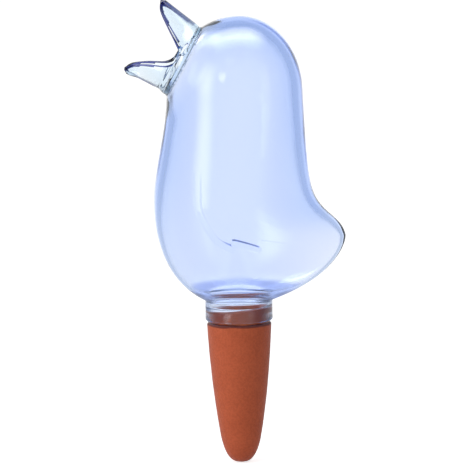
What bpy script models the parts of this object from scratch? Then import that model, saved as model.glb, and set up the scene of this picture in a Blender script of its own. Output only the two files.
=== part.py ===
"""A watering spike: a bird-shaped water reservoir plugged onto a hollow terracotta cone.

The cone stands in the soil as far as its shoulder. A clear sleeve seals its collar in the reservoir's
neck, and water is poured in through the bird's open beak. Lengths are in metres, +Z is up, the beak
points along -X and the tail along +X. The origin is on the spike's axis at its shoulder, the soil line.
"""

import math

import bmesh
import bpy
from mathutils import Matrix, Vector

MM = 0.001
NAME = "terracotta_watering_spike"

# Clearances
SEAL_GAP = 0.25 * MM  # collar to seal, and seal to neck
SEAT_GAP = 0.3 * MM  # seal to shoulder, and seal to neck rim
BOND_GAP = 0.25 * MM  # beak to head, and either of them to the adhesive

# Terracotta spike
SPIKE_LENGTH = 58.0 * MM
SPIKE_RADIUS = 13.2 * MM
SPIKE_SWELL = 0.33 * MM  # how far the side swells past a straight cone
SPIKE_NOSE = 15.0 * MM  # length of the rounded end
SPIKE_NOSE_RADIUS = 8.6 * MM  # where the rounding starts
SPIKE_WALL = 2.8 * MM
SPIKE_SHOULDER_ROUND = 0.9 * MM
COLLAR_RADIUS = 11.9 * MM
COLLAR_BORE = 9.0 * MM
COLLAR_HEIGHT = 5.9 * MM
COLLAR_SLANT = math.radians(5.0)  # the hand-cut top edge is higher on the tail side

# Seal
SEAL_WALL = 0.5 * MM
SEAL_FLANGE = 0.5 * MM  # thickness of the ring under the neck's rim
SEAL_FLANGE_RADIUS = 12.9 * MM
SEAL_PROUD = 0.6 * MM  # how far the sleeve stands above the collar

# Neck
NECK_WALL = 0.9 * MM
NECK_LENGTH = 8.4 * MM
NECK_LIP_ROUND = 0.35 * MM

# Body of the bird: heights from the neck's top, reaches from the spike's axis
BELLY_HEIGHT = 39.8 * MM
BELLY_FRONT = 34.0 * MM
BELLY_HALF_WIDTH = 28.5 * MM
BELLY_OFFSET = 2.0 * MM  # the widest line of the belly lies this far in front of the axis
BELLY_POWER = 2.2
TAIL_HEIGHT = 26.0 * MM
TAIL_REACH = 44.2 * MM
TAIL_SWEEP = 10.0 * MM  # height over which the back sweeps out into the tail
TAIL_POWER = 1.6
TAIL_PINCH = 1.3  # how fast the tail narrows
RUMP_REACH = 30.0 * MM

# Head: an ellipsoid round its own centre
HEAD_HEIGHT = 85.9 * MM
HEAD_OFFSET = 2.0 * MM  # its centre lies this far behind the axis
HEAD_FRONT = 30.0 * MM
HEAD_BACK = 25.5 * MM
HEAD_RISE = 30.5 * MM
HEAD_HALF_WIDTH = 26.0 * MM
HEAD_POWER = 2.3

# Wall of the blown body: thick at the top and along the back, thin below
TOP_WALL = 3.2 * MM
BASE_WALL = 0.9 * MM
FRONT_WALL_RISE = (12.5 * MM, 70.5 * MM)  # heights between which the wall thickens
BACK_WALL_RISE = (18.5 * MM, 32.5 * MM)
SIDE_WALL_RISE = (8.0 * MM, 65.0 * MM)

# Beak, in its own frame: +Z out of the head along its axis, +X up the face
BEAK_ANGLE = math.radians(28.5)  # how far the axis looks up
BEAK_BASE_RADIUS = 15.5 * MM
BEAK_WALL = 1.3 * MM
BEAK_SPIGOT_RADIUS = 13.2 * MM
BEAK_SPIGOT_LENGTH = 2.4 * MM
BEAK_FLANGE = 1.3 * MM
BEAK_CHAMFER = 1.0 * MM
# Stations of a mandible: rim height, rim distance, ridge distance, half width
UPPER_TIP = (18.4 * MM, 19.0 * MM)
UPPER_STATIONS = (
    (3.3 * MM, 2.4 * MM, 1.9 * MM, 14.6 * MM),
    (5.9 * MM, 6.5 * MM, 5.0 * MM, 10.4 * MM),
    (8.8 * MM, 10.9 * MM, 9.4 * MM, 7.8 * MM),
    (13.4 * MM, 17.0 * MM, 16.0 * MM, 4.6 * MM),
    (16.9 * MM, 19.2 * MM, 18.5 * MM, 2.4 * MM),
)
LOWER_TIP = (-14.8 * MM, 19.3 * MM)
LOWER_STATIONS = (
    (3.3 * MM, 2.4 * MM, 1.9 * MM, 14.6 * MM),
    (-1.1 * MM, 2.9 * MM, 2.7 * MM, 13.0 * MM),
    (-4.0 * MM, 5.6 * MM, 5.0 * MM, 10.2 * MM),
    (-7.1 * MM, 12.5 * MM, 11.5 * MM, 7.2 * MM),
    (-10.0 * MM, 17.2 * MM, 16.4 * MM, 5.0 * MM),
    (-12.8 * MM, 19.2 * MM, 18.7 * MM, 2.6 * MM),
)
BEAD_RADIUS = 0.3 * MM

# Relief moulded on each side of the body
RELIEF_PROUD = 0.4 * MM
RELIEF_ROOT = 0.7 * MM  # how deep a rib is rooted in the wall
EYE_CENTRE = (-4.2 * MM, 8.3 * MM)  # from the head's centre: forward, up
EYE_RADIUS = 4.3 * MM
EYE_RIB = 1.2 * MM
WING_RIB = 2.9 * MM
# The wing's edge and two feather tips below it, as x and the height above the neck's top
WING_EDGES = (
    (
        (-15.8 * MM, 54.8 * MM),
        (-15.9 * MM, 47.5 * MM),
        (-15.5 * MM, 40.5 * MM),
        (-11.9 * MM, 33.2 * MM),
        (-8.1 * MM, 27.8 * MM),
        (-2.2 * MM, 24.6 * MM),
    ),
    ((-1.6 * MM, 27.2 * MM), (3.1 * MM, 25.8 * MM), (7.8 * MM, 24.1 * MM)),
    ((9.7 * MM, 26.6 * MM), (15.2 * MM, 25.4 * MM), (20.3 * MM, 24.2 * MM)),
)

# Fineness of the round shapes
SIDES = 40
BODY_RINGS = 30
CAVITY_RINGS = 24
OUTLINE_STEPS = 400  # along the outline, from which the rings' heights are chosen
BEAK_SIDES = 32
UPPER_SIDES = 14  # of the beak's sides, those on the upper mandible
BEAD_SIDES = 8
EYE_SIDES = 20
CURVE_STEPS = 2  # between two points of a smooth path
SHOULDER_STEPS = 3
CONE_STEPS = 6
NOSE_STEPS = 8
HOLLOW_STEPS = 6
SLOPE_STEP = 0.05 * MM  # over which a surface's slope is taken
WELD_DISTANCE = 0.02 * MM
SHARP_ANGLE = math.radians(35.0)

# Places that follow from the sizes
BORE_RADIUS = COLLAR_RADIUS + SEAL_WALL + 2 * SEAL_GAP
NECK_RADIUS = BORE_RADIUS + NECK_WALL
RIM_Z = SEAL_FLANGE + 2 * SEAT_GAP
NECK_TOP_Z = RIM_Z + NECK_LENGTH
BELLY_Z = NECK_TOP_Z + BELLY_HEIGHT
TAIL_Z = NECK_TOP_Z + TAIL_HEIGHT
HEAD_Z = NECK_TOP_Z + HEAD_HEIGHT
CROWN = 1 / math.hypot(math.cos(BEAK_ANGLE) / HEAD_FRONT, math.sin(BEAK_ANGLE) / HEAD_RISE)
SEAT_DISTANCE = math.sqrt(CROWN**2 - BEAK_BASE_RADIUS**2)


def clear_scene():
    for obj in list(bpy.data.objects):
        bpy.data.objects.remove(obj, do_unlink=True)


def new_collection(name):
    collection = bpy.data.collections.new(name)
    bpy.context.scene.collection.children.link(collection)
    return collection


def material(name, colour, roughness, alpha=1.0):
    made = bpy.data.materials.new(name)
    made.use_nodes = True
    shader = made.node_tree.nodes["Principled BSDF"]
    shader.inputs["Base Color"].default_value = (*colour, 1.0)
    shader.inputs["Roughness"].default_value = roughness
    shader.inputs["Metallic"].default_value = 0.0
    shader.inputs["Alpha"].default_value = alpha
    made.diffuse_color = (*colour, alpha)
    return made


def mesh_object(name, mesh, collection, finish=None):
    obj = bpy.data.objects.new(name, mesh)
    collection.objects.link(obj)
    if finish:
        mesh.materials.append(finish)
    return obj


def as_helper(obj):
    """Marks a cutter or a rib that only shapes another piece."""
    obj.hide_render = True
    obj.display_type = "WIRE"
    return obj


def empty(name, matrix, parent=None):
    made = bpy.data.objects.new(name, None)
    parts.objects.link(made)
    made.parent = parent
    made.matrix_world = matrix
    return made


def boolean(obj, other, operation, crossing=False):
    """Cuts or joins with another object. Crossing says that the other one's own pieces overlap."""
    modifier = obj.modifiers.new(other.name, "BOOLEAN")
    modifier.operation = operation
    modifier.object = other
    modifier.solver = "EXACT"
    modifier.use_self = crossing


def shade_round(obj):
    obj.data.shade_smooth()
    obj.data.set_sharp_from_angle(angle=SHARP_ANGLE)


def turned(name, profile, collection, sides=SIDES, finish=None):
    """A profile of (radius, height) points, run down the outer side, turned round +Z with a Screw."""
    mesh = bpy.data.meshes.new(name)
    closed = profile[0][0] > 0
    points = [(radius, 0.0, height) for radius, height in profile]
    edges = [(i, i + 1) for i in range(len(points) - 1)]
    if closed:
        edges.append((len(points) - 1, 0))
    mesh.from_pydata(points, edges, [])
    obj = mesh_object(name, mesh, collection, finish)
    screw = obj.modifiers.new("turn", "SCREW")
    screw.steps = screw.render_steps = sides
    screw.use_merge_vertices = True
    screw.merge_threshold = WELD_DISTANCE
    screw.use_smooth_shade = True
    return obj


def smooth_change(z, low_z, high_z, low, high):
    """Goes smoothly from low at low_z to high at high_z."""
    share = min(max((z - low_z) / (high_z - low_z), 0.0), 1.0)
    return low + (high - low) * share * share * (3 - 2 * share)


def underside(z, rim_z, rim_reach, power):
    """The reach of a rounded underside that widens from the neck to its rim, as a superellipse."""
    closing = (1 - (NECK_RADIUS / rim_reach) ** power) ** (1 / power)
    share = (rim_z - z) * closing / (rim_z - NECK_TOP_Z)
    return rim_reach * (1 - share**power) ** (1 / power)


def front_reach(z):
    if z <= NECK_TOP_Z:
        return NECK_RADIUS
    if z < BELLY_Z:
        return underside(z, BELLY_Z, BELLY_FRONT, BELLY_POWER)
    return smooth_change(z, BELLY_Z, HEAD_Z, BELLY_FRONT, HEAD_FRONT - HEAD_OFFSET)


def back_reach(z):
    if z <= NECK_TOP_Z:
        return NECK_RADIUS
    if z < TAIL_Z:
        return underside(z, TAIL_Z, TAIL_REACH, TAIL_POWER)
    share = (z - TAIL_Z) / (HEAD_Z - TAIL_Z)
    spine = RUMP_REACH + (HEAD_BACK + HEAD_OFFSET - RUMP_REACH) * share
    sweep = (TAIL_REACH - RUMP_REACH) / (1 + ((z - TAIL_Z) / TAIL_SWEEP) ** 3)
    return spine + sweep * (1 - share)


def half_width(z):
    if z <= NECK_TOP_Z:
        return NECK_RADIUS
    if z < BELLY_Z:
        return underside(z, BELLY_Z, BELLY_HALF_WIDTH, BELLY_POWER)
    return smooth_change(z, BELLY_Z, HEAD_Z, BELLY_HALF_WIDTH, HEAD_HALF_WIDTH)


def centre_x(z):
    """Where along X the section is widest."""
    if z < BELLY_Z:
        return smooth_change(z, NECK_TOP_Z, BELLY_Z, 0.0, -BELLY_OFFSET)
    return smooth_change(z, BELLY_Z, HEAD_Z, -BELLY_OFFSET, HEAD_OFFSET)


def inner(reach, z, rise):
    """The cavity's reach: the wall is measured square to the outline, and never closes the bore."""
    if z <= NECK_TOP_Z:
        return BORE_RADIUS
    low, high = (NECK_TOP_Z + height for height in rise)
    wall = smooth_change(z, low, high, BASE_WALL, TOP_WALL)
    slope = (reach(z + SLOPE_STEP) - reach(z - SLOPE_STEP)) / (2 * SLOPE_STEP)
    return max(reach(z) - wall * math.hypot(1, slope), BORE_RADIUS)


def section(z, cavity=False):
    """(front, back, half width, centre, power, pinch) of the body's outline, or of its cavity, at height z."""
    pinch = max(0.0, TAIL_PINCH * (1 - half_width(z) / (back_reach(z) - centre_x(z))))
    power = smooth_change(z, BELLY_Z, HEAD_Z, 2.0, HEAD_POWER)
    if z > HEAD_Z:
        wall = TOP_WALL if cavity else 0.0
        share = min((z - HEAD_Z) / (HEAD_RISE - wall), 1.0)
        arch = math.sqrt(1 - share * share)
        front = (HEAD_FRONT - wall) * arch - HEAD_OFFSET
        back = (HEAD_BACK - wall) * arch + HEAD_OFFSET
        return front, back, (HEAD_HALF_WIDTH - wall) * arch, HEAD_OFFSET, power, 0.0
    if cavity:
        front = inner(front_reach, z, FRONT_WALL_RISE)
        back = inner(back_reach, z, BACK_WALL_RISE)
        half = inner(half_width, z, SIDE_WALL_RISE)
        return front, back, half, centre_x(z), power, pinch
    return front_reach(z), back_reach(z), half_width(z), centre_x(z), power, pinch


def ring(z, cavity=False, inset=0.0):
    """The points of one level section, counter-clockwise from +X."""
    front, back, half, centre, power, pinch = section(z, cavity)
    points = []
    for i in range(SIDES):
        angle = 2 * math.pi * i / SIDES
        along, across = math.cos(angle), math.sin(angle)
        reach = (back - centre if along > 0 else front + centre) - inset
        x = centre + math.copysign(reach * abs(along) ** (2 / power), along)
        y = math.copysign((half - inset) * abs(across) ** (2 / power), across)
        points.append((x, y * (1 - pinch * max(along, 0.0) ** 2), z))
    return points


def surface_y(x, z):
    """Half the body's width at one point of its side outline."""
    front, back, half, centre, power, pinch = section(z)
    reach = back - centre if x > centre else front + centre
    share = min(abs(x - centre) / reach, 1.0)
    along = share ** (power / 2)
    narrowing = 1 - pinch * along**2 if x > centre else 1.0
    return half * (1 - share**power) ** (1 / power) * narrowing


def levels(top_z, count, cavity=False):
    """Heights from the neck to the crown, spaced evenly along the side outline."""
    turns = [math.pi / 2 * i / OUTLINE_STEPS for i in range(OUTLINE_STEPS + 1)]
    heights = [NECK_TOP_Z + (top_z - NECK_TOP_Z) * math.sin(turn) for turn in turns]
    lengths = [0.0]
    for low, high in zip(heights, heights[1:]):
        below, above = section(low, cavity), section(high, cavity)
        front_run = math.hypot(above[0] - below[0], high - low)
        back_run = math.hypot(above[1] - below[1], high - low)
        lengths.append(lengths[-1] + front_run + back_run)
    chosen = []
    place = 0
    for i in range(count):
        target = lengths[-1] * i / count
        while lengths[place] < target:
            place += 1
        chosen.append(heights[place])
    return chosen


def loft(name, rings, first_pole, last_pole):
    """Joins rings of equal count into one closed skin between two poles."""
    form = bmesh.new()
    rows = [[form.verts.new(point) for point in points] for points in rings]
    first, last = form.verts.new(first_pole), form.verts.new(last_pole)
    count = len(rows[0])
    for i in range(count):
        following = (i + 1) % count
        form.faces.new((first, rows[0][i], rows[0][following]))
        form.faces.new((last, rows[-1][following], rows[-1][i]))
        for upper, lower in zip(rows, rows[1:]):
            form.faces.new((upper[i], lower[i], lower[following], upper[following]))
    bmesh.ops.recalc_face_normals(form, faces=form.faces)
    mesh = bpy.data.meshes.new(name)
    form.to_mesh(mesh)
    form.free()
    return mesh


def surface_normal(x, z, side):
    east, west = surface_y(x + SLOPE_STEP, z), surface_y(x - SLOPE_STEP, z)
    above, below = surface_y(x, z + SLOPE_STEP), surface_y(x, z - SLOPE_STEP)
    return Vector((west - east, side * 2 * SLOPE_STEP, below - above)).normalized()


def smooth_path(points):
    """A Catmull-Rom curve through the points."""
    last = len(points) - 1
    path = []
    for i in range(last):
        a, b, c, d = (Vector(points[min(max(place, 0), last)]) for place in range(i - 1, i + 3))
        for step in range(CURVE_STEPS):
            t = step / CURVE_STEPS
            path.append(
                b
                + (c - a) * t / 2
                + (a * 2 - b * 5 + c * 4 - d) * t * t / 2
                + (b * 3 - a - c * 3 + d) * t**3 / 2
            )
    path.append(Vector(points[last]))
    return path


def surface_rib(form, path, width, side, closed=False):
    """Adds a flat rib that follows a path of (x, z) points on one side of the body."""
    count = len(path)
    rows = []
    for i, point in enumerate(path):
        before = path[(i - 1) % count] if closed else path[max(i - 1, 0)]
        after = path[(i + 1) % count] if closed else path[min(i + 1, count - 1)]
        along = (after - before).normalized()
        across = Vector((-along.y, along.x)) * width / 2
        row = []
        for spot, lift in ((point + across, 1), (point - across, 1), (point - across, 0), (point + across, 0)):
            foot = Vector((spot.x, side * surface_y(spot.x, spot.y), spot.y))
            height = RELIEF_PROUD if lift else -RELIEF_ROOT
            row.append(form.verts.new(foot + surface_normal(spot.x, spot.y, side) * height))
        rows.append(row)
    pairs = list(zip(rows, rows[1:]))
    if closed:
        pairs.append((rows[-1], rows[0]))
    else:
        form.faces.new(rows[0])
        form.faces.new(rows[-1])
    for first, second in pairs:
        for i in range(4):
            following = (i + 1) % 4
            form.faces.new((first[i], first[following], second[following], second[i]))


def make_relief():
    """The eye ring and the wing's edge with its feather tips, on both sides."""
    form = bmesh.new()
    eye_centre = Vector((HEAD_OFFSET, HEAD_Z)) + Vector(EYE_CENTRE)
    turns = [2 * math.pi * i / EYE_SIDES for i in range(EYE_SIDES)]
    eye = [eye_centre + Vector((math.cos(turn), math.sin(turn))) * EYE_RADIUS for turn in turns]
    for side in (-1, 1):
        surface_rib(form, eye, EYE_RIB, side, closed=True)
        for edge in WING_EDGES:
            path = smooth_path([(x, NECK_TOP_Z + height) for x, height in edge])
            surface_rib(form, path, WING_RIB, side)
    bmesh.ops.recalc_face_normals(form, faces=form.faces)
    mesh = bpy.data.meshes.new("relief")
    form.to_mesh(mesh)
    form.free()
    return as_helper(mesh_object("relief", mesh, cutters))


def make_reservoir_shell(beak_frame, finish):
    """The blown bird and its neck, as one wall between the outer form and the cavity."""
    crown_z = HEAD_Z + HEAD_RISE
    ceiling_z = crown_z - TOP_WALL
    rings = [ring(z) for z in reversed(levels(crown_z, BODY_RINGS))]
    rings.append(ring(RIM_Z + NECK_LIP_ROUND))
    rings.append(ring(RIM_Z, inset=NECK_LIP_ROUND))
    rings.append(ring(RIM_Z, cavity=True))
    rings += [ring(z, cavity=True) for z in levels(ceiling_z, CAVITY_RINGS, cavity=True)]
    mesh = loft("reservoir_shell", rings, (HEAD_OFFSET, 0, crown_z), (HEAD_OFFSET, 0, ceiling_z))
    shell = mesh_object("reservoir_shell", mesh, parts, finish)
    boolean(shell, make_relief(), "UNION", crossing=True)
    boolean(shell, make_beak_seat(beak_frame), "DIFFERENCE")
    shade_round(shell)
    return shell


def make_beak_seat(beak_frame):
    """Cuts the head flat for the beak's flange, and bores the hole for its spigot."""
    reach = HEAD_RISE
    hole = BEAK_SPIGOT_RADIUS + BOND_GAP
    profile = [(0, reach), (reach, reach), (reach, 0), (hole, 0), (hole, -reach / 2), (0, -reach / 2)]
    seat = as_helper(turned("beak_seat", profile, cutters, BEAK_SIDES))
    seat.parent = beak_frame
    return seat


def mandible_rows(stations, tip, foot, sides):
    """Arched rows from the mouth's corner to the tip: each spans the two rims over the ridge."""
    rows = []
    for rim_x, rim_z, ridge_z, outer_half in smooth_path(stations):
        half = outer_half - BEAK_WALL
        ridge = foot + (tip - foot) * (ridge_z / tip.y)
        row = []
        for i in range(sides + 1):
            angle = math.pi * i / sides
            lift = math.sin(angle)
            x = rim_x + (ridge.x - rim_x) * lift
            z = rim_z + (ridge.y - rim_z) * lift
            row.append(Vector((x, half * math.cos(angle), z)))
        rows.append(row)
    return rows


def make_beak_horn():
    """The inside of the two mandibles, as one open surface on a round base."""
    form = bmesh.new()
    base_z = BOND_GAP + (BEAK_CHAMFER + BEAK_FLANGE) / 2
    base_radius = BEAK_BASE_RADIUS - BEAK_WALL
    corner = math.asin(UPPER_STATIONS[0][0] / base_radius)
    for stations, outer_tip, sides, start, sweep in (
        (UPPER_STATIONS, UPPER_TIP, UPPER_SIDES, corner, math.pi - 2 * corner),
        (LOWER_STATIONS, LOWER_TIP, BEAK_SIDES - UPPER_SIDES, corner, -math.pi - 2 * corner),
    ):
        angles = [start + sweep * i / sides for i in range(sides + 1)]
        grid = [[Vector((base_radius * math.sin(a), base_radius * math.cos(a), base_z)) for a in angles]]
        tip = Vector(outer_tip) * (1 - BEAK_WALL / math.hypot(*outer_tip))
        foot = Vector((math.copysign(base_radius, sweep), 0.0))
        grid += mandible_rows(stations, tip, foot, sides)
        rows = [[form.verts.new(point) for point in row] for row in grid]
        last = form.verts.new((tip.x, 0.0, tip.y))
        for lower, upper in zip(rows, rows[1:]):
            for i in range(sides):
                form.faces.new((lower[i], lower[i + 1], upper[i + 1], upper[i]))
        for i in range(sides):
            form.faces.new((rows[-1][i], rows[-1][i + 1], last))
    bmesh.ops.remove_doubles(form, verts=form.verts, dist=WELD_DISTANCE)
    bmesh.ops.recalc_face_normals(form, faces=form.faces)
    mesh = bpy.data.meshes.new("beak_horn")
    form.to_mesh(mesh)
    form.free()
    return mesh


def make_beak(beak_frame, finish):
    """The open beak: two troughs, a flange on the head's seat, and a spigot in its hole."""
    beak = mesh_object("beak_spout", make_beak_horn(), parts, finish)
    beak.parent = beak_frame
    wall = beak.modifiers.new("wall", "SOLIDIFY")
    wall.thickness = BEAK_WALL
    wall.offset = 1.0
    under, top = BOND_GAP, BOND_GAP + BEAK_FLANGE
    bore = BEAK_SPIGOT_RADIUS - BEAK_WALL
    profile = [
        (bore, top),
        (BEAK_BASE_RADIUS, top),
        (BEAK_BASE_RADIUS, under + BEAK_CHAMFER),
        (BEAK_BASE_RADIUS - BEAK_CHAMFER, under),
        (BEAK_SPIGOT_RADIUS, under),
        (BEAK_SPIGOT_RADIUS, -BEAK_SPIGOT_LENGTH),
        (bore, -BEAK_SPIGOT_LENGTH),
    ]
    base = as_helper(turned("beak_base", profile, cutters, BEAK_SIDES))
    base.parent = beak_frame
    boolean(beak, base, "UNION")
    shade_round(beak)
    return beak


def make_bond_bead(beak_frame, finish):
    """The adhesive that fills the groove between the beak's chamfer and the head."""
    standoff = BOND_GAP + BEAD_RADIUS
    chamfer_foot = BEAK_BASE_RADIUS - BEAK_CHAMFER
    reach = chamfer_foot + standoff - BOND_GAP + standoff * math.sqrt(2)
    profile = []
    for i in range(BEAD_SIDES):
        angle = -2 * math.pi * i / BEAD_SIDES
        profile.append((reach + BEAD_RADIUS * math.cos(angle), standoff + BEAD_RADIUS * math.sin(angle)))
    bead = turned("beak_bond_bead", profile, parts, BEAK_SIDES, finish)
    bead.parent = beak_frame
    return bead


def spike_radius(z, wall=0.0):
    """The spike's radius at height z, or its hollow's: a cone that swells and rounds off over its nose."""
    nose_top = SPIKE_NOSE - SPIKE_LENGTH
    depth = z / nose_top
    cone = SPIKE_RADIUS + (SPIKE_NOSE_RADIUS - SPIKE_RADIUS) * depth - wall
    cone += SPIKE_SWELL * 4 * depth * (1 - depth)
    if z >= nose_top:
        return cone
    share = min((nose_top - z) / (SPIKE_NOSE - wall), 1.0)
    return cone * (1 - share**3) ** (1 / 3)


def slant_cutter(name, height):
    """A block whose underside is the collar's slanted top at the given height on the axis."""
    size = 4 * SPIKE_RADIUS
    form = bmesh.new()
    tilt = Matrix.Rotation(-COLLAR_SLANT, 4, "Y")
    place = Matrix.Translation((0, 0, height)) @ tilt @ Matrix.Translation((0, 0, size / 2))
    bmesh.ops.create_cube(form, size=size, matrix=place)
    mesh = bpy.data.meshes.new(name)
    form.to_mesh(mesh)
    form.free()
    return as_helper(mesh_object(name, mesh, cutters))


def make_spike(finish):
    """The hollow clay cone: collar, shoulder, tapered wall and closed nose."""
    raw_top = COLLAR_HEIGHT + 2 * COLLAR_RADIUS * math.tan(COLLAR_SLANT)
    nose_top = SPIKE_NOSE - SPIKE_LENGTH
    outer_points = [(COLLAR_BORE, raw_top), (COLLAR_RADIUS, raw_top), (COLLAR_RADIUS, 0.0)]
    for i in range(SHOULDER_STEPS + 1):
        angle = math.pi / 2 * i / SHOULDER_STEPS
        drop = SPIKE_SHOULDER_ROUND * (1 - math.cos(angle))
        cut = SPIKE_SHOULDER_ROUND * (1 - math.sin(angle))
        outer_points.append((spike_radius(-drop) - cut, -drop))
    for i in range(1, CONE_STEPS + 1):
        z = -SPIKE_SHOULDER_ROUND + (nose_top + SPIKE_SHOULDER_ROUND) * i / CONE_STEPS
        outer_points.append((spike_radius(z), z))
    for i in range(1, NOSE_STEPS + 1):
        z = nose_top - SPIKE_NOSE * math.sin(math.pi / 2 * i / NOSE_STEPS)
        outer_points.append((spike_radius(z), z))
    hollow_points = []
    for i in range(HOLLOW_STEPS, 0, -1):
        z = nose_top - (SPIKE_NOSE - SPIKE_WALL) * math.sin(math.pi / 2 * i / HOLLOW_STEPS)
        hollow_points.append((spike_radius(z, SPIKE_WALL), z))
    for i in range(CONE_STEPS, 0, -1):
        z = nose_top * i / CONE_STEPS
        hollow_points.append((min(spike_radius(z, SPIKE_WALL), COLLAR_BORE), z))
    spike = turned("terracotta_spike", hollow_points + outer_points, parts, finish=finish)
    boolean(spike, slant_cutter("collar_slant", COLLAR_HEIGHT), "DIFFERENCE")
    return spike


def make_seal(finish):
    """The clear sleeve round the collar, with a thin flange between shoulder and neck rim."""
    bore = COLLAR_RADIUS + SEAL_GAP
    reach = bore + SEAL_WALL
    raw_top = COLLAR_HEIGHT + SEAL_PROUD + 2 * COLLAR_RADIUS * math.tan(COLLAR_SLANT)
    profile = [
        (bore, raw_top),
        (reach, raw_top),
        (reach, SEAT_GAP + SEAL_FLANGE),
        (SEAL_FLANGE_RADIUS, SEAT_GAP + SEAL_FLANGE),
        (SEAL_FLANGE_RADIUS, SEAT_GAP),
        (bore, SEAT_GAP),
    ]
    seal = turned("neck_seal", profile, parts, finish=finish)
    boolean(seal, slant_cutter("seal_slant", COLLAR_HEIGHT + SEAL_PROUD), "DIFFERENCE")
    return seal


clear_scene()
parts = new_collection(NAME)
cutters = new_collection("cutters")
clay = material("fired_clay", (0.40, 0.11, 0.045), 0.85)
silicone = material("clear_silicone", (0.85, 0.87, 0.9), 0.35, 0.5)
blue_plastic = material("blue_clear_plastic", (0.62, 0.74, 1.0), 0.05, 0.4)
clear_plastic = material("clear_plastic", (0.82, 0.93, 0.97), 0.05, 0.35)
adhesive = material("clear_adhesive", (0.85, 0.9, 0.93), 0.2, 0.5)

reservoir_axis = empty("reservoir_axis", Matrix.Identity(4))
seat_direction = Vector((-math.cos(BEAK_ANGLE), 0, math.sin(BEAK_ANGLE)))
seat_centre = Vector((HEAD_OFFSET, 0, HEAD_Z)) + seat_direction * SEAT_DISTANCE
beak_turn = Matrix.Rotation(BEAK_ANGLE - math.pi / 2, 4, "Y")
beak_axis = empty("beak_axis", Matrix.Translation(seat_centre) @ beak_turn, reservoir_axis)

make_spike(clay)
make_seal(silicone)
make_reservoir_shell(beak_axis, blue_plastic).parent = reservoir_axis
make_beak(beak_axis, clear_plastic)
make_bond_bead(beak_axis, adhesive)
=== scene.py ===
# %% [markdown]
# # A bird-shaped watering spike
#
# A hollow cone of fired clay stands in a pot plant's soil and lets water seep out of a clear plastic bird.
# The real object is a blown bottle, an open beak glued on as a funnel, a soft sleeve and a clay cone. Each is
# made here as a fine mesh in the place of its plain CAD solid, with a finish of its own. First the CAD frame
# is loaded, because every piece takes its place from it.

# %% Load the frame
import math

import bmesh
import bpy
import numpy as np
from mathutils import Matrix, Vector, noise


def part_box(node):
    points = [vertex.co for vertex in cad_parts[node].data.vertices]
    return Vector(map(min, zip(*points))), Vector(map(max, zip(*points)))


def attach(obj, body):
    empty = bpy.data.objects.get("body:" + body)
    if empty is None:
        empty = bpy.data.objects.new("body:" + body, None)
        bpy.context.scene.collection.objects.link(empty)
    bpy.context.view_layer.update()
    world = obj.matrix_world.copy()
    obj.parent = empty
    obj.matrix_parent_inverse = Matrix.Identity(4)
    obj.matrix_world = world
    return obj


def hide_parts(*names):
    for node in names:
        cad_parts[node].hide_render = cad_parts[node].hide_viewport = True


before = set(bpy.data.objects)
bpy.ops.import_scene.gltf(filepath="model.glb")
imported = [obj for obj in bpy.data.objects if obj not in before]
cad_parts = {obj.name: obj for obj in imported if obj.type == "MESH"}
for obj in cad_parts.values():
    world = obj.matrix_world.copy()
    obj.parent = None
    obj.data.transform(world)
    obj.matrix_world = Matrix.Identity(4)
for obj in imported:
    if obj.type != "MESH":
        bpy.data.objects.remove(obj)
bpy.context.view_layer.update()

MM = 0.001

# %% [markdown]
# ## Where things are
#
# A blown bottle has no flat faces to measure, so its form is a rule: how far the wall reaches to the front,
# to the back and to the side at each height. The rim, the crown and the cone's tip are read from the frame.
# The other values were fitted until the outline agreed with the picture.

# %% Heights and reaches of the bottle
shell_low, shell_high = (Vector(corner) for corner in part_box("reservoir_shell"))
spike_low = Vector(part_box("terracotta_spike")[0])

RIM_Z = shell_low.z
CROWN_Z = shell_high.z
NECK_RADIUS = 13.8 * MM
BORE_RADIUS = 12.9 * MM
NECK_TOP_Z = RIM_Z + 8.4 * MM
BELLY_Z = NECK_TOP_Z + 39.8 * MM
BELLY_FRONT = -shell_low.x
BELLY_HALF_WIDTH = shell_high.y
BELLY_OFFSET = 2.0 * MM
BELLY_POWER = 2.2
TAIL_Z = NECK_TOP_Z + 26.0 * MM
TAIL_REACH = 44.2 * MM
TAIL_SWEEP = 11.4 * MM
TAIL_POWER = 1.72
TAIL_PINCH = 1.3
RUMP_REACH = 30.0 * MM
HEAD_OFFSET = 2.0 * MM
HEAD_FRONT = 30.0 * MM
HEAD_BACK = 25.5 * MM
HEAD_RISE = 30.5 * MM
HEAD_HALF_WIDTH = 26.0 * MM
HEAD_POWER = 2.3
HEAD_Z = CROWN_Z - HEAD_RISE
print("neck top %.1f, belly %.1f, head %.1f mm" % (NECK_TOP_Z / MM, BELLY_Z / MM, HEAD_Z / MM))

# %% [markdown]
# ## Helpers
#
# Shader trees are built by script, so a few small helpers keep each material readable. A value that is itself
# another node's socket becomes a link, and any other value is set on the input.

# %% Helpers
WHITE = (1.0, 1.0, 1.0, 1.0)


def link(name, data):
    obj = bpy.data.objects.new(name, data)
    bpy.context.scene.collection.objects.link(obj)
    return obj


def mesh_of(form, name):
    mesh = bpy.data.meshes.new(name)
    form.to_mesh(mesh)
    form.free()
    return mesh


def fill(tree, node, inputs):
    for name, value in inputs.items():
        socket = node.inputs[name]
        if isinstance(value, bpy.types.NodeSocket):
            tree.links.new(value, socket)
        else:
            socket.default_value = value
    return node


def add_node(tree, kind, inputs=None, **settings):
    made = tree.nodes.new(kind)
    for name, value in settings.items():
        setattr(made, name, value)
    return fill(tree, made, inputs or {})


def maths(tree, operation, first, second=0.0):
    return add_node(tree, "ShaderNodeMath", {0: first, 1: second}, operation=operation).outputs[0]


def vector_maths(tree, operation, *values):
    """A dot product or a length gives a number, and any other operation a vector."""
    made = add_node(tree, "ShaderNodeVectorMath", dict(enumerate(values)), operation=operation)
    return made.outputs["Value" if operation in ("DOT_PRODUCT", "LENGTH") else "Vector"]


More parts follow.
